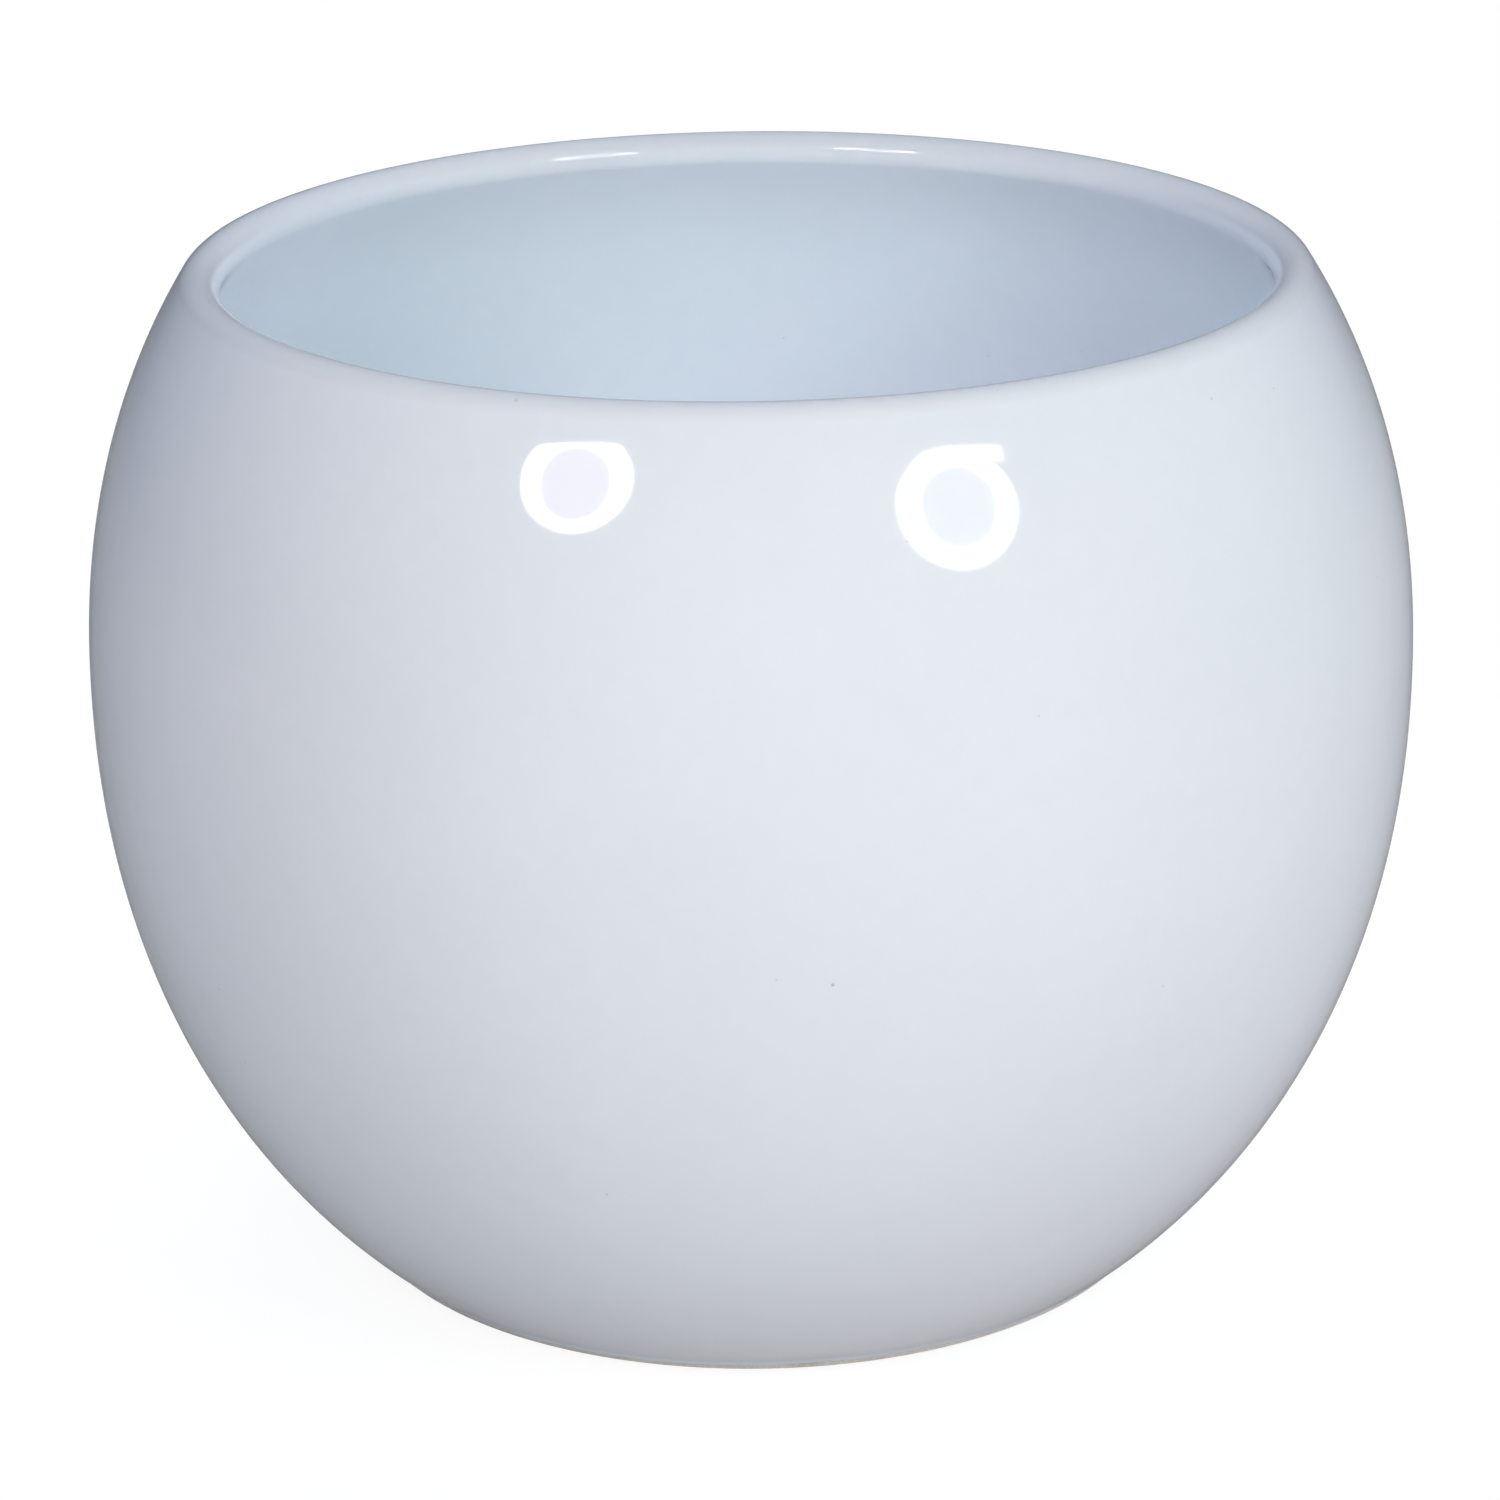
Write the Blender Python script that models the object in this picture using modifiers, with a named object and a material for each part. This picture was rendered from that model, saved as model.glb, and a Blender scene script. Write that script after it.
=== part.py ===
"""A round glazed plant pot, in metres, +Z up, with its origin at the centre of the foot, on the table.

It is a turned shell of fired clay that stands on a bare foot ring. One coat of white glaze runs from just
above the foot, up the outside, over the lip, down the inside and across the floor, and a patch of the same
glaze fills the recess under the base.
"""

import math

import bpy

# Outer form, measured over the glaze
POT_HEIGHT = 0.1070
BELLY_RADIUS = 0.0700
BELLY_HEIGHT = 0.0644  # of the widest circle over the table
UPPER_FULLNESS = 2.12  # exponent of the curve above the belly: 2 is an ellipse, more is squarer
LOWER_FULLNESS = 2.13  # the same, below the belly

# Wall and inside, measured over the glaze
WALL_THICKNESS = 0.0044  # even from the belly up to the lip, which is its full round
MOUTH_RADIUS = 0.0547
FLOOR_RADIUS = 0.0320  # of the flat floor inside, where a grow pot stands
INNER_FULLNESS = 2.10  # exponent of the hollow between the belly and the floor

# Clay under the pot
FLOOR_THICKNESS = 0.0044  # of clay, between the two glazes
FOOT_RADIUS = 0.0432
FOOT_RING_WIDTH = 0.0052
FOOT_BAND_HEIGHT = 0.0010  # bare clay below the outer glaze
FOOT_EDGE_RADIUS = 0.0004
RECESS_DEPTH = 0.0022
RECESS_DRAFT = 0.0012  # how far the recess narrows from its mouth to its roof
RECESS_FILLET_RADIUS = 0.0006  # of the glaze in the recess's corner

# Glaze
GLAZE_THICKNESS = 0.00035
GLAZE_SEAT_GAP = 0.0003  # left between the glass and the clay
BASE_GLAZE_SKIRT = 0.0004  # how far the glaze in the recess runs down the foot ring's inner wall

# Facets
TURN_STEPS = 56
UPPER_STEPS = 5
LOWER_STEPS = 7
LIP_INNER_STEPS = 5
LIP_OUTER_STEPS = 3
FILLET_STEPS = 3
EDGE_SEGMENTS = 2
EDGE_ANGLE = math.radians(60)  # sharper corners than this are rounded
MERGE_DISTANCE = 0.00001

CLAY_INSET = GLAZE_THICKNESS + GLAZE_SEAT_GAP
HALF_WALL = WALL_THICKNESS / 2
LIP_RADIUS = MOUTH_RADIUS + HALF_WALL  # of the circle along the middle of the lip
LIP_HEIGHT = POT_HEIGHT - HALF_WALL
CLAY_FLOOR_HEIGHT = RECESS_DEPTH + FLOOR_THICKNESS
GLAZED_FLOOR_HEIGHT = CLAY_FLOOR_HEIGHT + CLAY_INSET
FOOT_INNER_RADIUS = FOOT_RADIUS - FOOT_RING_WIDTH


def superellipse_height(width, fullness, end_across, end_up):
    """Half height of the superellipse of this half width that passes through the given end point."""
    return end_up / (1 - (end_across / width) ** fullness) ** (1 / fullness)


def superellipse(width, height, fullness, end_up, steps):
    """Points and unit normals, as (across, up, normal across, normal up), from the widest point to end_up."""
    end_turn = math.asin(min(1.0, (end_up / height) ** (fullness / 2)))
    found = []
    for step in range(steps + 1):
        turn = end_turn * step / steps
        cosine = max(0.0, math.cos(turn))
        sine = math.sin(turn)
        across = width * cosine ** (2 / fullness)
        up = height * sine ** (2 / fullness)
        slope_across = cosine ** (2 - 2 / fullness) / width
        slope_up = sine ** (2 - 2 / fullness) / height
        length = math.hypot(slope_across, slope_up)
        found.append((across, up, slope_across / length, slope_up / length))
    return found


def arc(centre, radius, start, end, steps):
    """Points (radius, height) along an arc, both its ends included."""
    angles = [start + (end - start) * step / steps for step in range(steps + 1)]
    return [(centre[0] + radius * math.cos(angle), centre[1] + radius * math.sin(angle)) for angle in angles]


def upper_wall():
    """The middle of the wall from the belly to the lip, which the outer and inner faces follow side by side."""
    middle_radius = BELLY_RADIUS - HALF_WALL
    rise = LIP_HEIGHT - BELLY_HEIGHT
    height = superellipse_height(middle_radius, UPPER_FULLNESS, LIP_RADIUS, rise)
    return superellipse(middle_radius, height, UPPER_FULLNESS, rise, UPPER_STEPS)


def inner_face(inset):
    """(radius, height) from the edge of the floor up to the lip, moved into the wall by inset."""
    hollow_width = BELLY_RADIUS - WALL_THICKNESS - FLOOR_RADIUS
    hollow_depth = BELLY_HEIGHT - GLAZED_FLOOR_HEIGHT
    hollow = superellipse(hollow_width, hollow_depth, INNER_FULLNESS, hollow_depth, LOWER_STEPS)
    lower = [
        (FLOOR_RADIUS + across + inset * out, BELLY_HEIGHT - down - inset * under)
        for across, down, out, under in reversed(hollow)
    ]
    face = HALF_WALL - inset
    upper = [(across - face * out, BELLY_HEIGHT + up - face * over) for across, up, out, over in upper_wall()]
    return lower + upper[1:]


def lip(inset):
    """(radius, height) over the full round of the lip, between the ends of its inner and outer faces."""
    _, _, out, over = upper_wall()[-1]
    outer_end = math.atan2(over, out)
    crest = math.pi / 2
    centre = (LIP_RADIUS, LIP_HEIGHT)
    inner_half = arc(centre, HALF_WALL - inset, outer_end + math.pi, crest, LIP_INNER_STEPS)
    outer_half = arc(centre, HALF_WALL - inset, crest, outer_end, LIP_OUTER_STEPS)
    return inner_half[1:] + outer_half[1:-1]


def outer_face(inset):
    """(radius, height) from the lip down to the lower edge of the glaze, moved into the wall by inset."""
    face = HALF_WALL - inset
    upper = [(across + face * out, BELLY_HEIGHT + up + face * over) for across, up, out, over in upper_wall()]
    edge_radius = FOOT_RADIUS + CLAY_INSET
    drop = BELLY_HEIGHT - FOOT_BAND_HEIGHT
    height = superellipse_height(BELLY_RADIUS, LOWER_FULLNESS, edge_radius, drop)
    lower = superellipse(BELLY_RADIUS, height, LOWER_FULLNESS, drop, LOWER_STEPS)
    below = [(across - inset * out, BELLY_HEIGHT - down + inset * under) for across, down, out, under in lower]
    return upper[:0:-1] + below


def glazed_face(inset):
    """(radius, height) of the whole glazed face, from the centre of the floor inside to the edge above the foot."""
    return [(0, GLAZED_FLOOR_HEIGHT - inset)] + inner_face(inset) + lip(inset) + outer_face(inset)


def recess_face(below_clay):
    """(radius, height) of the recess from the top of its drafted wall to its centre, moved off the clay."""
    slope = recess_slope()
    roof_height = RECESS_DEPTH - below_clay
    corner_radius = FOOT_INNER_RADIUS - below_clay / math.sin(slope) - roof_height / math.tan(slope)
    fillet_radius = RECESS_FILLET_RADIUS + CLAY_INSET - below_clay
    fillet_centre = (corner_radius - fillet_radius * math.tan(slope / 2), roof_height - fillet_radius)
    fillet = arc(fillet_centre, fillet_radius, math.pi / 2 - slope, math.pi / 2, FILLET_STEPS)
    return fillet + [(0, roof_height)]


def recess_slope():
    """The angle that the recess's drafted wall makes with the table."""
    return math.atan2(RECESS_DEPTH, RECESS_DRAFT)


def clay_profile():
    """(radius, height) of the clay from the centre of the floor, over the lip and round the foot to the recess."""
    foot = [(FOOT_RADIUS, FOOT_BAND_HEIGHT), (FOOT_RADIUS, 0), (FOOT_INNER_RADIUS, 0)]
    return glazed_face(CLAY_INSET) + foot + recess_face(0)


def base_glaze_profile():
    """(radius, height) of the exposed face of the glaze in the recess, from its edge to the centre."""
    face = recess_face(CLAY_INSET)
    slope = recess_slope()
    wall_radius, wall_height = face[0]
    edge_radius = wall_radius + BASE_GLAZE_SKIRT * math.cos(slope)
    edge_height = wall_height - BASE_GLAZE_SKIRT * math.sin(slope)
    return [(edge_radius, edge_height)] + face


def plain_material(name, colour, roughness, coat):
    material = bpy.data.materials.new(name)
    material.use_nodes = True
    shader = material.node_tree.nodes["Principled BSDF"]
    shader.inputs["Base Color"].default_value = (*colour, 1.0)
    shader.inputs["Metallic"].default_value = 0.0
    shader.inputs["Roughness"].default_value = roughness
    shader.inputs["Coat Weight"].default_value = coat
    return material


def turned(name, profile, material, collection):
    """An object made by turning a profile, which runs over the top and down the outside, round the Z axis."""
    mesh = bpy.data.meshes.new(name)
    points = [(radius, 0, height) for radius, height in profile]
    mesh.from_pydata(points, [(n, n + 1) for n in range(len(points) - 1)], [])
    obj = bpy.data.objects.new(name, mesh)
    collection.objects.link(obj)
    obj.data.materials.append(material)
    screw = obj.modifiers.new("Turn", "SCREW")
    screw.axis = "Z"
    screw.angle = math.tau
    screw.steps = TURN_STEPS
    screw.render_steps = TURN_STEPS
    screw.use_merge_vertices = True
    screw.merge_threshold = MERGE_DISTANCE
    screw.use_smooth_shade = True
    return obj


def make_skin(obj, thickness):
    """Gives an open turned face its thickness, on the side that faces the clay."""
    solidify = obj.modifiers.new("Glass", "SOLIDIFY")
    solidify.thickness = thickness
    solidify.offset = -1
    solidify.use_even_offset = True


def round_edges(obj, radius):
    bevel = obj.modifiers.new("Wiped edges", "BEVEL")
    bevel.width = radius
    bevel.segments = EDGE_SEGMENTS
    bevel.limit_method = "ANGLE"
    bevel.angle_limit = EDGE_ANGLE


def make_clay_body(collection):
    material = plain_material("fired_clay", (0.74, 0.70, 0.63), 0.85, 0.0)
    body = turned("clay_body", clay_profile(), material, collection)
    round_edges(body, FOOT_EDGE_RADIUS)


def make_glaze(collection):
    material = plain_material("white_glaze", (0.80, 0.83, 0.87), 0.12, 1.0)
    coat = turned("glaze_coat", glazed_face(0), material, collection)
    make_skin(coat, GLAZE_THICKNESS)
    patch = turned("base_glaze", base_glaze_profile(), material, collection)
    make_skin(patch, GLAZE_THICKNESS)


def main():
    for old in list(bpy.data.objects):
        bpy.data.objects.remove(old)
    collection = bpy.data.collections.new("plant_pot")
    bpy.context.scene.collection.children.link(collection)
    make_clay_body(collection)
    make_glaze(collection)


main()
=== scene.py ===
"""Looks of the round glazed plant pot: its glaze and clay as fine turned skins, its studio and its camera."""

import math

import bpy
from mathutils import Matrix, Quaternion, Vector, noise


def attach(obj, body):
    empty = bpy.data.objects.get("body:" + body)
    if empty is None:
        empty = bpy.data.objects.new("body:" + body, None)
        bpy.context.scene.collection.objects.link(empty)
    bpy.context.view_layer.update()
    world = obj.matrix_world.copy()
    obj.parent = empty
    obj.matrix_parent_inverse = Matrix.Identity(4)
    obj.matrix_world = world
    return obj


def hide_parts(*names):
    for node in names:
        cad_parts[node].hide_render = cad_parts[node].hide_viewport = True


# Form, in metres, as in the solids
POT_HEIGHT = 0.1070
BELLY_RADIUS = 0.0700
BELLY_HEIGHT = 0.0644
UPPER_FULLNESS = 2.12
LOWER_FULLNESS = 2.13
WALL_THICKNESS = 0.0044
MOUTH_RADIUS = 0.0547
FLOOR_RADIUS = 0.0320
INNER_FULLNESS = 2.10
FLOOR_THICKNESS = 0.0044
FOOT_RADIUS = 0.0432
FOOT_RING_WIDTH = 0.0052
FOOT_BAND_HEIGHT = 0.0010
RECESS_DEPTH = 0.0022
RECESS_DRAFT = 0.0012
RECESS_FILLET_RADIUS = 0.0006
GLAZE_THICKNESS = 0.00035
GLAZE_SEAT_GAP = 0.0003
BASE_GLAZE_SKIRT = 0.0004

CLAY_INSET = GLAZE_THICKNESS + GLAZE_SEAT_GAP
HALF_WALL = WALL_THICKNESS / 2
LIP_RADIUS = MOUTH_RADIUS + HALF_WALL
LIP_HEIGHT = POT_HEIGHT - HALF_WALL
GLAZED_FLOOR_HEIGHT = RECESS_DEPTH + FLOOR_THICKNESS + CLAY_INSET
FOOT_INNER_RADIUS = FOOT_RADIUS - FOOT_RING_WIDTH

# Fineness of the skins
TURN_STEPS = 320
FLOOR_STEPS = 10
HOLLOW_STEPS = 56
UPPER_STEPS = 44
LOWER_STEPS = 60
LIP_STEPS = 16  # each side of the crest
EDGE_STEPS = 8  # of the glaze's rolled edge and of the foot ring's wiped edges
FILLET_STEPS = 10
SOLE_SHARES = (0.25, 0.5, 0.75)  # places of the rings across the foot ring's sole
ROOF_SHARES = (0.25, 0.5, 0.75, 0.9)  # places of the rings from the middle of the recess to its fillet
BACK_STRIDE = 6  # the hidden back of a skin keeps one point in this many
AXIS_TOLERANCE = 1e-7  # a point nearer to the axis than this is on it

# Small forms that only the skins have, in metres
ROLL_LIFT = 0.2  # of the rolled edge's centre over the glaze's lower edge, in radii of the roll
ROLL_ENDS = (math.radians(-15), math.radians(-150))  # angles between which that edge rolls in
CLAY_CLEARANCE = 0.0001  # between the glaze's hidden back and the clay
BAND_TOP = FOOT_BAND_HEIGHT * 1.3  # heights of the foot's upper two rings
BAND_MIDDLE = FOOT_BAND_HEIGHT * 0.8
WIPED_EDGE_RADIUS = 0.0005

# Hand-made unevenness. A wave is its fineness round the pot, its fineness up it to the metre, its place in
# the noise, and its weight.
WOBBLE = 0.0022  # largest share by which a radius falls short of a true circle
WOBBLE_MEAN = 0.5  # share of that by which it falls short on average
WOBBLE_WAVES = ((0.9, 9, (3.1, 1.7), 0.42), (2.6, 30, (7.7, 5.2), 0.06))
EDGE_WAVE = 0.00022  # how far the glaze's lower edge strays up or down
EDGE_WAVES = ((2.2, 0, (1.3, 4.1), 1.0), (7, 0, (6.6, 2.8), 0.5))
EDGE_WAVE_REACH = 0.003  # height above the foot band over which that dies out

# Glaze, with lengths in metres. A scale is to the metre, and a range is of the noise, over which its tint
# sets in.
GLAZE_OUTSIDE = (0.82, 0.86, 0.90)
# painted light: the glaze inside is paler and bluer than outside, standing in for light in the hollow
GLAZE_INSIDE_PAINTED_LIGHT = (0.897, 0.957, 0.998)
INSIDE_FADE = 0.014  # depth below the lip over which the outside's colour goes over to the inside's painted-light colour
GLAZE_THIN_AND_PAINTED_SHADE = (0.90, 0.885, 0.865)  # tint over the crest of the lip: where the glaze lies thin, and painted shade that darkens the lip's top
THIN_AND_SHADE_HEIGHT = 0.1055
GLAZE_POOLED = (0.90, 0.93, 0.95)  # tint where it gathers above the foot
POOL_HEIGHT = 0.0032
GLAZE_ROUGHNESS = 0.03
GLAZE_IOR = 1.5
CLOUD_SCALE = 28  # of broad changes of thickness
CLOUD_RANGE = (0.35, 0.65)
CLOUD_TINT = (0.975, 0.982, 0.988)
MOTTLE_SCALE = 420
MOTTLE_RANGE = (0.3, 0.7)
MOTTLE_TINT = (0.988, 0.990, 0.992)
RIPPLE_SCALE = 130  # of the orange peel
RIPPLE_HEIGHT = 0.000012
PINHOLE_SCALE = 75
PINHOLE_RADIUS = 0.00016
PINHOLE_DEPTH = 0.00004
PINHOLE_RARITY = 0.86  # share of the cells that have none
PINHOLE_SHADE = 0.4  # how far one takes the specks' colour
SPECK_COLOUR = (0.42, 0.43, 0.44)
SPECK_CORE = 0.4  # share of a speck's radius over which it is even
SPECKS = (  # place, radius, strength
    ((-0.0219, -0.0539, 0.1068), 0.00036, 0.5),
    ((0.0073, -0.0691, 0.0531), 0.00026, 0.80),
    ((-0.0148, -0.0617, 0.0283), 0.00022, 0.45),
    ((0.0448, -0.0412, 0.1024), 0.00022, 0.40),
)

# Bare clay
CLAY_COLOUR = (0.80, 0.78, 0.74)
CLAY_STAIN = (0.72, 0.68, 0.62)
CLAY_GRAIN_TINT = (0.86, 0.85, 0.84)
CLAY_ROUGHNESS = 0.85
GRAIN_SCALE = 2600
GRAIN_RANGE = (0.35, 0.65)
GRAIN_HEIGHT = 0.00003
STAIN_SCALE = 90
STAIN_RANGE = (0.56, 0.78)
WIPE_SCALE = 1500  # of the rings left by wiping the foot
WIPE_RANGE = (0.4, 0.6)
WIPE_TINT = (0.93, 0.925, 0.92)
WIPE_RELIEF = 0.4  # height of these rings, as a share of the grain's


def superellipse_height(width, fullness, end_across, end_up):
    """Half height of the superellipse of this half width that passes through the given end point."""
    return end_up / (1 - (end_across / width) ** fullness) ** (1 / fullness)


def superellipse(width, height, fullness, end_up, steps):
    """Points and unit normals, as (across, up, normal across, normal up), from the widest point to end_up."""
    end_turn = math.asin(min(1.0, (end_up / height) ** (fullness / 2)))
    found = []
    for step in range(steps + 1):
        turn = end_turn * step / steps
        cosine = max(0.0, math.cos(turn))
        sine = math.sin(turn)
        slope_across = cosine ** (2 - 2 / fullness) / width
        slope_up = sine ** (2 - 2 / fullness) / height
        length = math.hypot(slope_across, slope_up)
        across = width * cosine ** (2 / fullness)
        up = height * sine ** (2 / fullness)
        found.append((across, up, slope_across / length, slope_up / length))
    return found


def arc(centre, radius, start, end, steps):
    """Points (radius, height) along an arc, both its ends included."""
    angles = [start + (end - start) * step / steps for step in range(steps + 1)]
    return [(centre[0] + radius * math.cos(angle), centre[1] + radius * math.sin(angle)) for angle in angles]


def upper_wall():
    """The middle of the wall from the belly to the lip, which its outer and inner faces follow."""
    middle_radius = BELLY_RADIUS - HALF_WALL
    rise = LIP_HEIGHT - BELLY_HEIGHT
    height = superellipse_height(middle_radius, UPPER_FULLNESS, LIP_RADIUS, rise)
    return superellipse(middle_radius, height, UPPER_FULLNESS, rise, UPPER_STEPS)


def inner_face(inset):
    """(radius, height) from the edge of the floor up to the lip, moved into the wall by inset."""
    hollow_width = BELLY_RADIUS - WALL_THICKNESS - FLOOR_RADIUS
    hollow_depth = BELLY_HEIGHT - GLAZED_FLOOR_HEIGHT
    hollow = superellipse(hollow_width, hollow_depth, INNER_FULLNESS, hollow_depth, HOLLOW_STEPS)
    lower = [
        (FLOOR_RADIUS + across + inset * out, BELLY_HEIGHT - down - inset * under)
        for across, down, out, under in reversed(hollow)
    ]
    face = HALF_WALL - inset
    upper = [(across - face * out, BELLY_HEIGHT + up - face * over) for across, up, out, over in upper_wall()]
    return lower + upper[1:]


def lip(inset):
    """(radius, height) over the full round of the lip, between the ends of its inner and outer faces."""
    _, _, out, over = upper_wall()[-1]
    outer_end = math.atan2(over, out)
    crest = math.pi / 2
    centre = (LIP_RADIUS, LIP_HEIGHT)
    inner_half = arc(centre, HALF_WALL - inset, outer_end + math.pi, crest, LIP_STEPS)
    outer_half = arc(centre, HALF_WALL - inset, crest, outer_end, LIP_STEPS)
    return inner_half[1:] + outer_half[1:-1]


def outer_face(inset):
    """(radius, height) from the lip down to the lower edge of the glaze, moved into the wall by inset."""
    face = HALF_WALL - inset
    upper = [(across + face * out, BELLY_HEIGHT + up + face * over) for across, up, out, over in upper_wall()]
    edge_radius = FOOT_RADIUS + CLAY_INSET
    drop = BELLY_HEIGHT - FOOT_BAND_HEIGHT
    height = superellipse_height(BELLY_RADIUS, LOWER_FULLNESS, edge_radius, drop)
    lower = superellipse(BELLY_RADIUS, height, LOWER_FULLNESS, drop, LOWER_STEPS)
    below = [
        (across - inset * out, BELLY_HEIGHT - down + inset * under)
        for across, down, out, under in lower
    ]
    return upper[:0:-1] + below


def floor_points(height):
    """(radius, height) across the flat floor inside, from its centre to just before its edge."""
    return [(FLOOR_RADIUS * step / FLOOR_STEPS, height) for step in range(FLOOR_STEPS)]


def glazed_face(inset):
    """(radius, height) of the whole glazed face, from the middle of the floor to the edge above the foot."""
    floor = floor_points(GLAZED_FLOOR_HEIGHT - inset)
    return floor + inner_face(inset) + lip(inset) + outer_face(inset)


def thinned(points):
    """Every few points of a profile that isn't seen, with both its ends."""
    kept = points[::BACK_STRIDE]
    return kept if kept[-1] == points[-1] else kept + [points[-1]]


def glaze_section():
    """The coat's closed section, and how far each of its points belongs to the inside."""
    face = glazed_face(0)
    edge_radius, edge_height = face[-1]
    roll_radius = CLAY_INSET / 2
    roll_centre = (edge_radius - roll_radius, edge_height + roll_radius * ROLL_LIFT)
    roll = arc(roll_centre, roll_radius, *ROLL_ENDS, EDGE_STEPS)
    back = thinned(glazed_face(CLAY_INSET)[::-1])
    section = face[:-1] + roll + back
    return section, inside_shares(section)


def clay_profile():
    """The clay's closed section: its hidden face, the foot ring with its wiped edges, and the recess."""
    hidden = thinned(glazed_face(CLAY_INSET + CLAY_CLEARANCE))
    edge = WIPED_EDGE_RADIUS
    ring = (
        [(FOOT_RADIUS, BAND_TOP), (FOOT_RADIUS, BAND_MIDDLE)]
        + arc((FOOT_RADIUS - edge, edge), edge, 0, -math.pi / 2, EDGE_STEPS)
        + [(FOOT_RADIUS - FOOT_RING_WIDTH * share, 0) for share in SOLE_SHARES]
        + arc((FOOT_INNER_RADIUS + edge, edge), edge, -math.pi / 2, -math.pi, EDGE_STEPS)
    )
    recess = [(FOOT_INNER_RADIUS - RECESS_DRAFT, RECESS_DEPTH), (0, RECESS_DEPTH)]
    return hidden + ring + recess


def base_glaze_profile():
    """The closed section of the glaze in the recess: its face from the centre to its edge, and its back."""
    slope = math.atan2(RECESS_DEPTH, RECESS_DRAFT)
    roof_height = RECESS_DEPTH - CLAY_INSET
    corner_radius = FOOT_INNER_RADIUS - CLAY_INSET / math.sin(slope) - roof_height / math.tan(slope)
    fillet_centre = (
        corner_radius - RECESS_FILLET_RADIUS * math.tan(slope / 2),
        roof_height - RECESS_FILLET_RADIUS,
    )
    fillet = arc(fillet_centre, RECESS_FILLET_RADIUS, math.pi / 2 - slope, math.pi / 2, FILLET_STEPS)
    wall_radius, wall_height = fillet[0]
    edge = (
        wall_radius + BASE_GLAZE_SKIRT * math.cos(slope),
        wall_height - BASE_GLAZE_SKIRT * math.sin(slope),
    )
    back_edge = (edge[0] + CLAY_INSET * math.sin(slope), edge[1] + CLAY_INSET * math.cos(slope))
    roof = [(corner_radius * share, roof_height) for share in ROOF_SHARES]
    back = [back_edge, (FOOT_INNER_RADIUS - RECESS_DRAFT, RECESS_DEPTH), (0, RECESS_DEPTH)]
    return [(0, roof_height)] + roof + fillet[::-1] + [edge] + back


def unevenness(angle, height, waves, mean=0.0):
    """The sum of some waves at this angle round the axis and this height, added to their mean."""
    across = Vector((math.cos(angle), math.sin(angle), 0))
    parts = [
        weight * noise.noise(across * fineness + Vector((*place, height * fineness_up)))
        for fineness, fineness_up, place, weight in waves
    ]
    return sum(parts, mean)


def wobble(angle, height):
    """Share by which the radius falls short here: a few broad lobes and a finer unevenness, never outward."""
    return WOBBLE * min(1.0, max(0.0, unevenness(angle, height, WOBBLE_WAVES, WOBBLE_MEAN)))


def edge_lift(radius, angle, height):
    """How far the glaze's lower edge strays up here, dying out above it; nothing inside the foot does."""
    above = abs(height - FOOT_BAND_HEIGHT)
    if radius < FOOT_RADIUS or above > EDGE_WAVE_REACH:
        return 0.0
    fade = 1 - above / EDGE_WAVE_REACH
    return EDGE_WAVE * unevenness(angle, height, EDGE_WAVES) * fade * fade


def inside_shares(section):
    """How far each point of the coat's section has the inside's painted-light colour: 1 inside, 0 from the
    lip on.
    """
    inner_length = FLOOR_STEPS + HOLLOW_STEPS + 1 + UPPER_STEPS
    inner = section[:inner_length]
    depths = [min(1.0, max(0.0, (LIP_HEIGHT - height) / INSIDE_FADE)) for _, height in inner]
    shares = [depth * depth * (3 - 2 * depth) for depth in depths]
    return shares + [0.0] * (len(section) - inner_length)


def turned(name, profile, material, replaced, shares=None):
    """A closed skin made by turning a section round the Z axis, in place of a solid of the same form.

    The section starts and ends on the axis. The coat alone has shares, and a lower edge that strays.
    """
    points, rings, insides, alongs = [], [], [], []
    along = 0.0
    for number, (radius, height) in enumerate(profile):
        if number:
            along += math.dist(profile[number - 1], profile[number])
        around = 1 if radius < AXIS_TOLERANCE else TURN_STEPS
        rings.append(list(range(len(points), len(points) + around)))
        insides += [shares[number] if shares else 0.0] * around
        alongs += [along] * around
        for step in range(around):
            angle = math.tau * step / TURN_STEPS
            there = radius * (1 - wobble(angle, height))
            lifted = height + (edge_lift(radius, angle, height) if shares else 0.0)
            points.append((there * math.cos(angle), there * math.sin(angle), lifted))
    faces = []
    for lower, upper in zip(rings, rings[1:]):
        for step in range(TURN_STEPS):
            after = (step + 1) % TURN_STEPS
            if len(lower) == 1:
                faces.append((lower[0], upper[step], upper[after]))
            elif len(upper) == 1:
                faces.append((lower[step], upper[0], lower[after]))
            else:
                faces.append((lower[step], upper[step], upper[after], lower[after]))
    mesh = bpy.data.meshes.new(name)
    mesh.from_pydata(points, [], faces)
    for attribute, values in (("inside", insides), ("along", alongs)):
        mesh.attributes.new(attribute, "FLOAT", "POINT").data.foreach_set("value", values)
    mesh.shade_smooth()
    obj = linked(name, mesh)
    mesh.materials.append(material)
    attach(obj, "root")
    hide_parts(replaced)
    return obj


def linked(name, data):
    """A new object of the scene."""
    obj = bpy.data.objects.new(name, data)
    bpy.context.scene.collection.objects.link(obj)
    return obj


def node(tree, kind, **settings):
    made = tree.nodes.new(kind)
    for key, value in settings.items():
        setattr(made, key, value)
    return made


def set_inputs(made, values):
    """Sets sockets by name or number, by a link where the value is a socket."""
    for key, value in values.items():
        if isinstance(value, bpy.types.NodeSocket):
            made.id_data.links.new(value, made.inputs[key])
        else:
            made.inputs[key].default_value = value


def maths(tree, operation, first, second=0.0, clamp=False):
    made = node(tree, "ShaderNodeMath", operation=operation, use_clamp=clamp)
    set_inputs(made, {0: first, 1: second})
    return made.outputs[0]


def mixed_colour(tree, factor, first, second, blend="MIX"):
    made = node(tree, "ShaderNodeMix", data_type="RGBA", blend_type=blend)
    set_inputs(made, {0: factor, 6: first, 7: second})
    return made.outputs[2]


def vector_maths(tree, operation, first, second=(0, 0, 0)):
    made = node(tree, "ShaderNodeVectorMath", operation=operation)
    set_inputs(made, {0: first, 1: second})
    return made.outputs["Value" if operation in ("LENGTH", "DISTANCE") else "Vector"]


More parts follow.
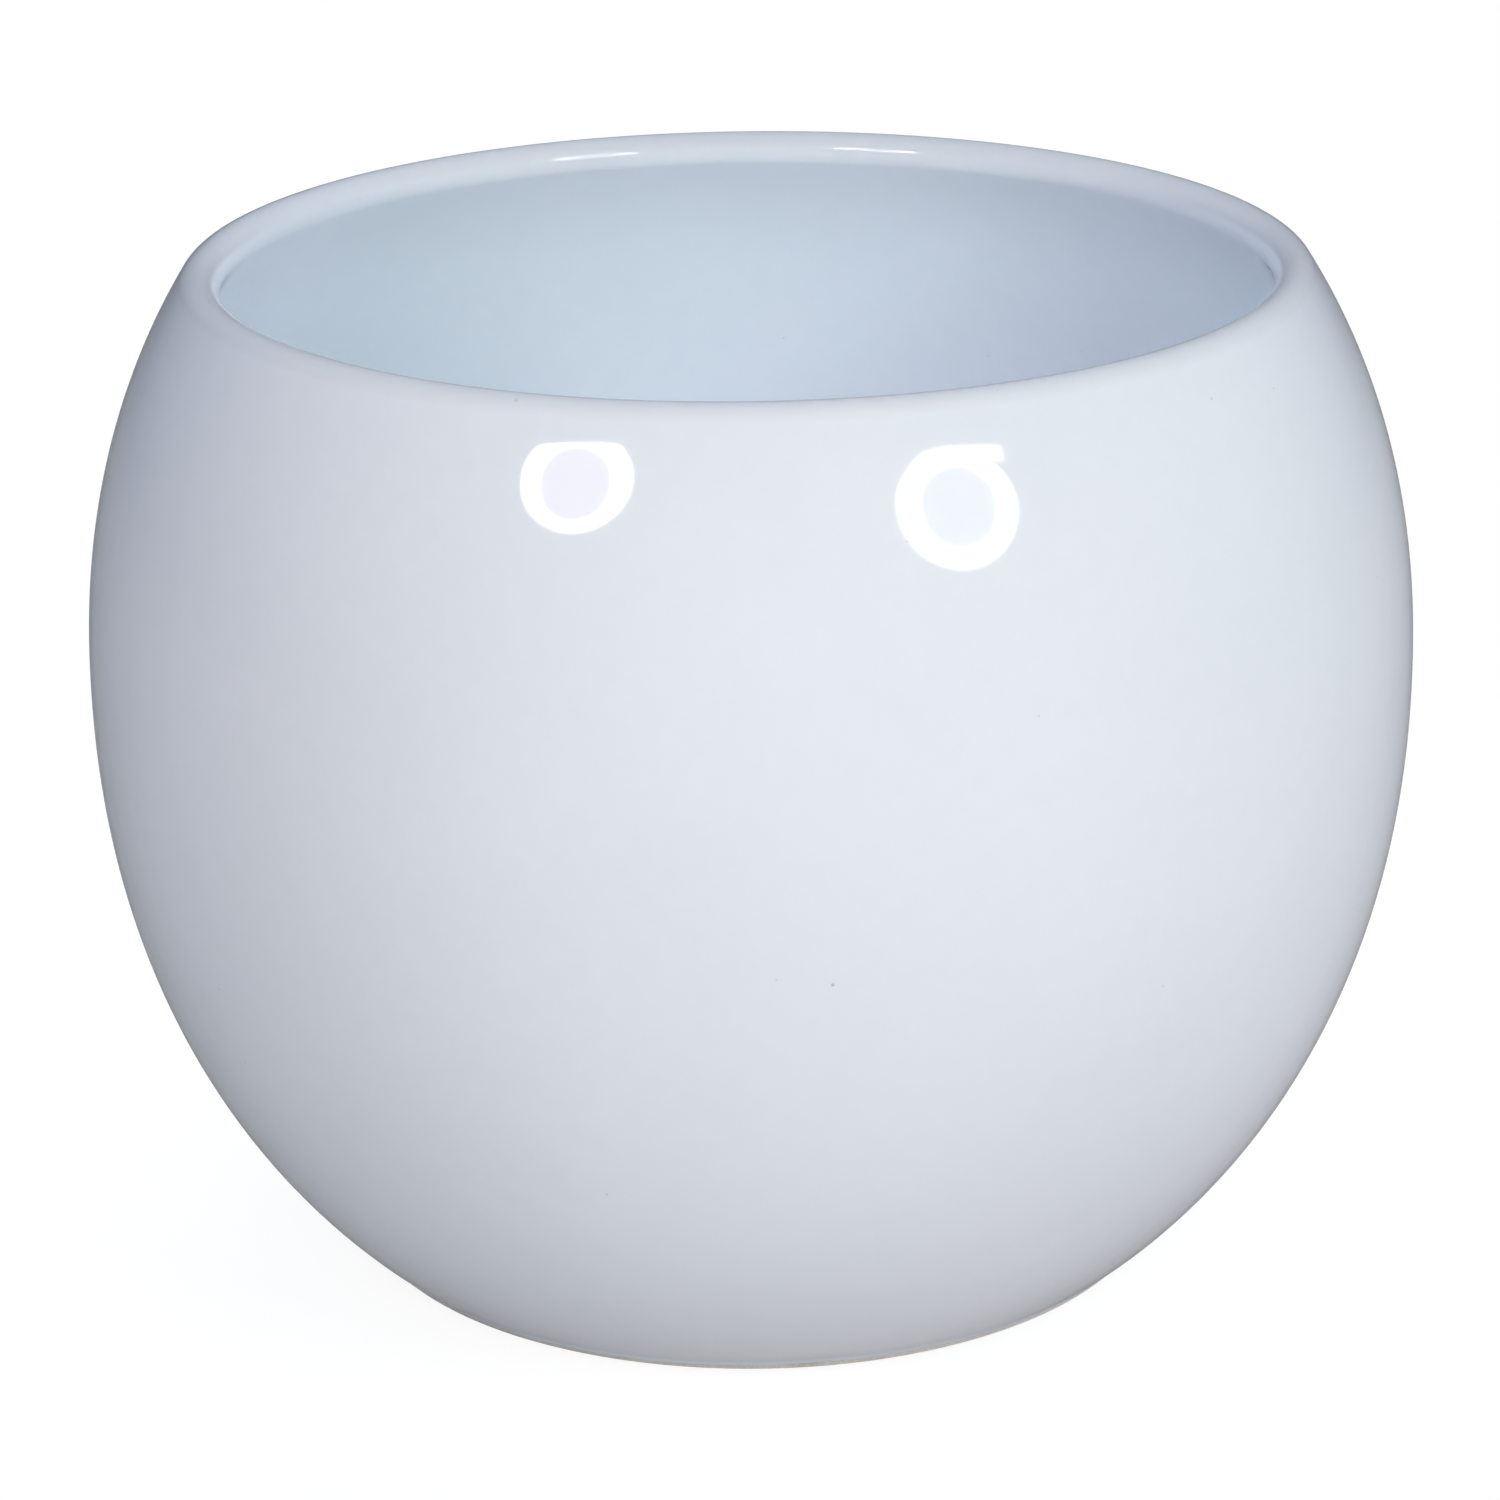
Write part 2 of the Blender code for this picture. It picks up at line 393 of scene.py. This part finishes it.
def axes_of(tree, vector):
    """The x, y and z of a vector."""
    made = node(tree, "ShaderNodeSeparateXYZ")
    set_inputs(made, {0: vector})
    return made.outputs


def combined(tree, x, y=0.0):
    """A vector made from its x and y."""
    made = node(tree, "ShaderNodeCombineXYZ")
    set_inputs(made, {0: x, 1: y})
    return made.outputs[0]


def place_of(tree):
    """The point's place on the piece, in metres."""
    return node(tree, "ShaderNodeTexCoord").outputs["Object"]


def attribute_of(tree, name):
    return node(tree, "ShaderNodeAttribute", attribute_name=name).outputs["Fac"]


def noise_at(tree, place, scale, detail=2.0, roughness=0.5):
    """Smooth noise from 0 to 1."""
    made = node(tree, "ShaderNodeTexNoise")
    set_inputs(made, {"Vector": place, "Scale": scale, "Detail": detail, "Roughness": roughness})
    return made.outputs[0]


def ranged(tree, value, low, high, to_low, to_high):
    made = node(tree, "ShaderNodeMapRange")
    set_inputs(made, {0: value, 1: low, 2: high, 3: to_low, 4: to_high})
    return made.outputs[0]


def tinted(tree, colour, tint, share):
    """The colour, multiplied by a tint as far as the share says."""
    return mixed_colour(tree, share, colour, (*tint, 1), "MULTIPLY")


def bumped(tree, shader, height, distance):
    """Gives a shader relief of this many metres for each unit of height."""
    made = node(tree, "ShaderNodeBump")
    set_inputs(made, {"Strength": 1.0, "Distance": distance, "Height": height})
    set_inputs(shader, {"Normal": made.outputs[0]})


def skin_place(tree):
    """The point's place as the glaze was laid: metres round the belly, and metres along the section."""
    x, y, _ = axes_of(tree, place_of(tree))
    round_belly = maths(tree, "MULTIPLY", maths(tree, "ARCTAN2", y, x), BELLY_RADIUS)
    return combined(tree, round_belly, attribute_of(tree, "along"))


def pinholes(tree):
    """1 in the middle of the few pinholes of the glaze, 0 elsewhere."""
    cells = node(tree, "ShaderNodeTexVoronoi", voronoi_dimensions="2D")
    set_inputs(cells, {"Vector": skin_place(tree), "Scale": PINHOLE_SCALE})
    hole = ranged(tree, cells.outputs["Distance"], 0, PINHOLE_RADIUS * PINHOLE_SCALE, 1.0, 0.0)
    chance = node(tree, "ShaderNodeSeparateColor")
    set_inputs(chance, {0: cells.outputs["Color"]})
    return maths(tree, "MULTIPLY", hole, maths(tree, "GREATER_THAN", chance.outputs[0], PINHOLE_RARITY))


def principled(name):
    material = bpy.data.materials.new(name)
    material.use_nodes = True
    tree = material.node_tree
    return material, tree, tree.nodes["Principled BSDF"]


def glaze_material():
    material, tree, shader = principled("cool_white_glaze")
    place = place_of(tree)
    inside = attribute_of(tree, "inside")
    # painted light: the inside takes a paler, bluer colour than the outside
    colour = mixed_colour(tree, inside, (*GLAZE_OUTSIDE, 1), (*GLAZE_INSIDE_PAINTED_LIGHT, 1))
    clouds = ranged(tree, noise_at(tree, place, CLOUD_SCALE), *CLOUD_RANGE, 0, 1)
    colour = tinted(tree, colour, CLOUD_TINT, clouds)
    mottle = ranged(tree, noise_at(tree, place, MOTTLE_SCALE), *MOTTLE_RANGE, 0, 1)
    colour = tinted(tree, colour, MOTTLE_TINT, mottle)
    height = axes_of(tree, place)[2]
    # thin glaze and painted shade: the lip's top is tinted darker and warmer
    colour = tinted(tree, colour, GLAZE_THIN_AND_PAINTED_SHADE, ranged(tree, height, THIN_AND_SHADE_HEIGHT, POT_HEIGHT, 0, 1))
    colour = tinted(tree, colour, GLAZE_POOLED, ranged(tree, height, FOOT_BAND_HEIGHT, POOL_HEIGHT, 1, 0))
    holes = pinholes(tree)
    colour = mixed_colour(tree, maths(tree, "MULTIPLY", holes, PINHOLE_SHADE), colour, (*SPECK_COLOUR, 1))
    for centre, radius, strength in SPECKS:
        away = vector_maths(tree, "DISTANCE", place, centre)
        spot = ranged(tree, away, radius * SPECK_CORE, radius, strength, 0.0)
        colour = mixed_colour(tree, spot, colour, (*SPECK_COLOUR, 1))
    set_inputs(shader, {"Base Color": colour, "Roughness": GLAZE_ROUGHNESS, "IOR": GLAZE_IOR})
    ripple = maths(tree, "MULTIPLY", noise_at(tree, place, RIPPLE_SCALE, detail=1.0), RIPPLE_HEIGHT)
    pits = maths(tree, "MULTIPLY", holes, PINHOLE_DEPTH)
    bumped(tree, shader, maths(tree, "SUBTRACT", ripple, pits), 1.0)
    return material


def clay_material():
    material, tree, shader = principled("bare_clay")
    place = place_of(tree)
    grain = noise_at(tree, place, GRAIN_SCALE, detail=3.0, roughness=0.6)
    colour = tinted(tree, (*CLAY_COLOUR, 1), CLAY_GRAIN_TINT, ranged(tree, grain, *GRAIN_RANGE, 0, 1))
    stain = noise_at(tree, place, STAIN_SCALE, detail=4.0, roughness=0.6)
    colour = tinted(tree, colour, CLAY_STAIN, ranged(tree, stain, *STAIN_RANGE, 0, 1))
    flat = vector_maths(tree, "MULTIPLY", place, (1, 1, 0))
    wipe = noise_at(tree, combined(tree, vector_maths(tree, "LENGTH", flat)), WIPE_SCALE)
    colour = tinted(tree, colour, WIPE_TINT, ranged(tree, wipe, *WIPE_RANGE, 0, 1))
    set_inputs(shader, {"Base Color": colour, "Roughness": CLAY_ROUGHNESS})
    wiped = maths(tree, "MULTIPLY", wipe, WIPE_RELIEF)
    bumped(tree, shader, maths(tree, "ADD", grain, wiped), GRAIN_HEIGHT)
    return material


# Studio, in metres round the pot
KEY_MARGIN = 1.1  # half width of a key lamp's panel, in radii of its ring
KEY_FLATNESS = 0.90  # a ring's height, as a share of its width
KEY_CORE = 0.2  # brightness of a lamp's middle, as a share of its ring's
KEY_SOFTNESS = 0.10  # of the edges between bright and dark, in radii
KEYS = {  # place, aim, turn in its own plane in degrees, ring radius, ring radiance
    "key_left": ((-0.346, -0.527, 0.504), (-0.0161, -0.0598, 0.1005), 15, 0.120, (19.4, 16.8, 18.7)),
    "key_right": ((0.303, -0.395, 0.338), (0.0195, -0.0602, 0.0975), -14, 0.098, (12.3, 12.7, 12.3)),
}
# Shapes on the key lamps' faces, in radii of the ring: a disc is its middle and radius, a panel its corners
RING = ((0, 0), 1.0)
LEFT_KEPT = ((-1.2, -1.2), (1.2, 0.70))  # what the cut at its top leaves of the left ring
LEFT_DIM = (((-0.02, -0.02), 0.65), ((-0.02, -0.15), 0.63))
RIGHT_SHOULDER = ((-0.25, 0.52), 0.48)
RIGHT_CORNER = ((-0.25, 0.80), (0.85, 1.04))
RIGHT_DIM = (((0.02, 0.09), 0.61), ((0.02, -0.05), 0.61))
POT_MIDDLE = (0, 0, 0.05)
SOFT_LIGHTS = {  # place, width, height, radiance
    "soft_top": ((0, 0.1, 1.2), 1.2, 1.2, (0.15, 0.20, 0.35)),
    "soft_front": ((0.15, -1.1, 0.42), 0.6, 0.6, (3.70, 3.78, 3.36)),
    "soft_back": ((0, 1.1, 0.50), 0.8, 0.6, (1.8, 1.6, 1.5)),
    "soft_back_high": ((0, 0.75, 1.05), 0.8, 0.6, (2.0, 2.4, 2.8)),
    "soft_back_right": ((0.95, 0.55, 0.35), 0.6, 0.6, (3.1, 3.1, 3.65)),
    "soft_back_left": ((-0.75, 0.55, 0.75), 0.6, 0.6, (0.9, 1.25, 1.5)),
    "soft_under": ((0, 0, -0.5), 1.0, 1.0, (0.09, 0.10, 0.12)),
    "soft_under_right": ((0.55, -0.15, -0.35), 0.7, 0.7, (0.46, 0.32, 0.35)),
}
AMBIENT = (0.125, 0.135, 0.155)
FLOOR_HALF = 6.0  # half the side of the floor
FLOOR_HEIGHT = -0.0002
FLOOR_BOUNCE = 0.6  # the floor's colour to the light that it throws on the pot
SHADOW_REACH = (0.14, 0.34)  # distances from the pot's middle over which the floor stops showing shadow
SHADOW_ROOM = 0.13  # how much of its white the floor gives up near the pot
SHADOW_CATCH = 0.20  # colour that gives it back where the lamps reach the floor
TABLE_REFLECTION = 0.25
TABLE_REACH = (0.15, 0.95)  # distances from the pot over which the table's reflection dims to the room's
TABLE_HEIGHT = -0.0001
ROOM_REFLECTION = 0.02
ROOM_RADIUS = 1.7
ROOM_SIDES = 32
ROOM_BANDS = 8


def aimed(name, data, place, aim, turn=0.0):
    obj = linked(name, data)
    obj.location = place
    obj.rotation_mode = "QUATERNION"
    facing = (Vector(aim) - Vector(place)).to_track_quat("-Z", "Y")
    obj.rotation_quaternion = facing @ Quaternion((0, 0, 1), math.radians(turn))
    obj.visible_camera = False
    return obj


def area_lamp(name, width, height, radiance):
    """A rectangular lamp whose face shines with this radiance."""
    data = bpy.data.lights.new(name, "AREA")
    data.shape = "RECTANGLE"
    data.size = width
    data.size_y = height
    brightest = max(radiance)
    data.energy = math.pi * width * height * brightest
    data.color = [part / brightest for part in radiance]
    return data


def disc(tree, across, up, middle, radius):
    """1 inside a circle on the lamp's face and 0 outside, with a soft edge."""
    aside = maths(tree, "SUBTRACT", across, middle[0])
    above = maths(tree, "SUBTRACT", up, middle[1])
    squares = maths(tree, "ADD", maths(tree, "MULTIPLY", aside, aside), maths(tree, "MULTIPLY", above, above))
    out = maths(tree, "SQRT", squares)
    return ranged(tree, out, radius - KEY_SOFTNESS / 2, radius + KEY_SOFTNESS / 2, 1.0, 0.0)


def panel(tree, across, up, low_corner, high_corner):
    """1 inside an upright rectangle on the lamp's face and 0 outside, with soft edges."""
    inside = 1.0
    half = KEY_SOFTNESS / 2
    for value, low, high in zip((across, up), low_corner, high_corner):
        risen = ranged(tree, value, low - half, low + half, 0.0, 1.0)
        fallen = ranged(tree, value, high - half, high + half, 1.0, 0.0)
        inside = maths(tree, "MULTIPLY", inside, maths(tree, "MULTIPLY", risen, fallen))
    return inside


def joined(tree, parts):
    """The union of soft shapes."""
    whole = parts[0]
    for part in parts[1:]:
        whole = maths(tree, "MAXIMUM", whole, part)
    return whole


def left_pattern(tree, across, up):
    """Bright and dim parts of the left lamp: a ring cut level at its top, and its tall middle."""
    bright = maths(tree, "MULTIPLY", disc(tree, across, up, *RING), panel(tree, across, up, *LEFT_KEPT))
    return bright, joined(tree, [disc(tree, across, up, *dim) for dim in LEFT_DIM])


def right_pattern(tree, across, up):
    """Bright and dim parts of the right lamp: a ring with a shoulder and a square corner, and its middle."""
    discs = [disc(tree, across, up, *shape) for shape in (RING, RIGHT_SHOULDER)]
    bright = joined(tree, discs + [panel(tree, across, up, *RIGHT_CORNER)])
    return bright, joined(tree, [disc(tree, across, up, *dim) for dim in RIGHT_DIM])


def key_lamp(name, place, aim, turn, radius, radiance, pattern):
    """A lamp that gives a ring-shaped highlight: its emission follows a pattern on its face."""
    width = 2 * KEY_MARGIN * radius
    data = area_lamp(name, width, width * KEY_FLATNESS, radiance)
    data.use_nodes = True
    tree = data.node_tree
    spot = axes_of(tree, node(tree, "ShaderNodeNewGeometry").outputs["Parametric"])
    across, up = (ranged(tree, spot[n], 0, 1, -KEY_MARGIN, KEY_MARGIN) for n in (0, 1))
    bright, dim = pattern(tree, across, up)
    core = maths(tree, "MULTIPLY", dim, 1 - KEY_CORE)
    strength = maths(tree, "MULTIPLY", bright, maths(tree, "SUBTRACT", 1.0, core))
    set_inputs(tree.nodes["Emission"], {"Strength": strength})
    aimed(name, data, place, aim, turn)


def soft_light(name, place, width, height, radiance):
    """A plain lamp that lights the pot and isn't mirrored in its glaze."""
    data = area_lamp(name, width, height, radiance)
    data.cycles.use_multiple_importance_sampling = False  # with it, lamps under the floor lose light
    aimed(name, data, place, POT_MIDDLE).visible_glossy = False


def mixed(tree, factor, first, second):
    """A shader that goes from the first to the second as the factor goes from 0 to 1."""
    made = node(tree, "ShaderNodeMixShader")
    set_inputs(made, {0: factor, 1: first, 2: second})
    return made.outputs[0]


def seen_rays(tree):
    """1 for the rays that show a background: straight, mirrored or through glass."""
    rays = node(tree, "ShaderNodeLightPath").outputs
    straight_or_mirrored = maths(tree, "ADD", rays["Is Camera Ray"], rays["Is Glossy Ray"], clamp=True)
    return maths(tree, "ADD", straight_or_mirrored, rays["Is Transmission Ray"], clamp=True)


def staged(name, points, faces):
    """A mesh of the studio with an empty material, the material's node tree and its output node."""
    mesh = bpy.data.meshes.new(name)
    mesh.from_pydata(points, [], faces)
    obj = linked(name, mesh)
    material = bpy.data.materials.new(name)
    material.use_nodes = True
    material.node_tree.nodes.clear()
    mesh.materials.append(material)
    return obj, material.node_tree, node(material.node_tree, "ShaderNodeOutputMaterial")


def studio_floor():
    """A floor that shows white with a faint shadow near the pot, and lets light through from below."""
    ends = (-FLOOR_HALF, FLOOR_HALF)
    corners = [(across, along, FLOOR_HEIGHT) for across in ends for along in ends]
    _, tree, out = staged("studio_floor", corners, [(0, 2, 3, 1)])
    seen = seen_rays(tree)
    near = ranged(tree, vector_maths(tree, "LENGTH", place_of(tree)), *SHADOW_REACH, 1.0, 0.0)
    white = node(tree, "ShaderNodeEmission")
    set_inputs(white, {"Strength": maths(tree, "SUBTRACT", 1.0, maths(tree, "MULTIPLY", near, SHADOW_ROOM))})
    catcher = node(tree, "ShaderNodeBsdfDiffuse")
    set_inputs(catcher, {"Color": maths(tree, "MULTIPLY", near, SHADOW_CATCH)})
    both = node(tree, "ShaderNodeAddShader")
    set_inputs(both, {0: white.outputs[0], 1: catcher.outputs[0]})
    matt = node(tree, "ShaderNodeBsdfDiffuse")
    set_inputs(matt, {"Color": (FLOOR_BOUNCE, FLOOR_BOUNCE, FLOOR_BOUNCE, 1)})
    clear = node(tree, "ShaderNodeBsdfTransparent")
    shown = mixed(tree, seen, matt.outputs[0], both.outputs[0])
    underneath = node(tree, "ShaderNodeNewGeometry").outputs["Backfacing"]
    shadow = node(tree, "ShaderNodeLightPath").outputs["Is Shadow Ray"]
    passing = maths(tree, "ADD", underneath, shadow, clamp=True)
    set_inputs(out, {"Surface": mixed(tree, passing, shown, clear.outputs[0])})


def reflection_card(name, points, faces, near, far):
    """A card that only mirrored rays meet; its light goes from near to far over TABLE_REACH."""
    obj, tree, out = staged(name, points, faces)
    away = vector_maths(tree, "LENGTH", place_of(tree))
    glow = node(tree, "ShaderNodeEmission")
    set_inputs(glow, {"Strength": ranged(tree, away, *TABLE_REACH, near, far)})
    set_inputs(out, {"Surface": glow.outputs[0]})
    obj.visible_camera = False
    obj.visible_diffuse = False
    obj.visible_transmission = False
    obj.visible_volume_scatter = False
    obj.visible_shadow = False


def room_ring(radius, height):
    """The points of a ring of the reflected room."""
    angles = [math.tau * side / ROOM_SIDES for side in range(ROOM_SIDES)]
    return [(radius * math.cos(angle), radius * math.sin(angle), height) for angle in angles]


def reflected_room():
    """A round table and a dome over it, for mirrored rays alone."""
    table = room_ring(ROOM_RADIUS, TABLE_HEIGHT)
    reflection_card("reflected_table", table, [tuple(range(ROOM_SIDES))], TABLE_REFLECTION, ROOM_REFLECTION)
    points, faces = [], []
    for band in range(ROOM_BANDS + 1):
        rise = math.pi / 2 * band / ROOM_BANDS
        points += room_ring(ROOM_RADIUS * math.cos(rise), ROOM_RADIUS * math.sin(rise))
    for lowest in range(0, ROOM_BANDS * ROOM_SIDES, ROOM_SIDES):
        for side in range(ROOM_SIDES):
            here, after = lowest + side, lowest + (side + 1) % ROOM_SIDES
            faces.append((here, after, after + ROOM_SIDES, here + ROOM_SIDES))
    reflection_card("reflected_room", points, faces, ROOM_REFLECTION, ROOM_REFLECTION)


def studio_world():
    """A world that shows white and lights the pot with a weak, even tint."""
    world = bpy.data.worlds.new("studio")
    bpy.context.scene.world = world
    world.use_nodes = True
    tree = world.node_tree
    ambient = tree.nodes["Background"]
    set_inputs(ambient, {"Color": (*AMBIENT, 1), "Strength": 1.0})
    white = node(tree, "ShaderNodeBackground")
    set_inputs(white, {"Color": (1, 1, 1, 1)})
    shown = mixed(tree, seen_rays(tree), ambient.outputs[0], white.outputs[0])
    set_inputs(tree.nodes["World Output"], {"Surface": shown})


# Camera
CAMERA_TARGET = (-0.00027, 0, 0.05237)
CAMERA_DISTANCE = 0.560
CAMERA_ELEVATION = math.radians(19.51)
CAMERA_ROLL = math.radians(-0.731)
CAMERA_LENS = 125.33
CAMERA_SENSOR = 36
CAMERA_CLIP = (0.01, 50)


def camera():
    data = bpy.data.cameras.new("camera")
    data.lens = CAMERA_LENS
    data.sensor_width = CAMERA_SENSOR
    data.clip_start, data.clip_end = CAMERA_CLIP
    obj = linked("camera", data)
    back = Vector((0, -math.cos(CAMERA_ELEVATION), math.sin(CAMERA_ELEVATION)))
    obj.location = Vector(CAMERA_TARGET) + back * CAMERA_DISTANCE
    obj.rotation_mode = "QUATERNION"
    obj.rotation_quaternion = (-back).to_track_quat("-Z", "Y") @ Quaternion((0, 0, 1), CAMERA_ROLL)
    bpy.context.scene.camera = obj


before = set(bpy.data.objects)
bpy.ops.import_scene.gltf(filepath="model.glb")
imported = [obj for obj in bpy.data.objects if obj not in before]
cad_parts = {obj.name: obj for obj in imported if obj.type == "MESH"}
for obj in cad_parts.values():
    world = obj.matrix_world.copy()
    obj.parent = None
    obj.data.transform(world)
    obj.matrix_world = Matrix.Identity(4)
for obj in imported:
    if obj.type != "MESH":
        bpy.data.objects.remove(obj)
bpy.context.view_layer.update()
bpy.context.scene.view_settings.view_transform = "Standard"
glaze = glaze_material()
clay = clay_material()
coat, coat_shares = glaze_section()
turned("glaze_coat_skin", coat, glaze, "glaze_coat", coat_shares)
turned("clay_body_skin", clay_profile(), clay, "clay_body")
turned("base_glaze_skin", base_glaze_profile(), glaze, "base_glaze")
studio_floor()
reflected_room()
studio_world()
for key_name, key_pattern in (("key_left", left_pattern), ("key_right", right_pattern)):
    key_lamp(key_name, *KEYS[key_name], key_pattern)
for soft_name, (soft_place, soft_width, soft_height, soft_radiance) in SOFT_LIGHTS.items():
    soft_light(soft_name, soft_place, soft_width, soft_height, soft_radiance)
camera()
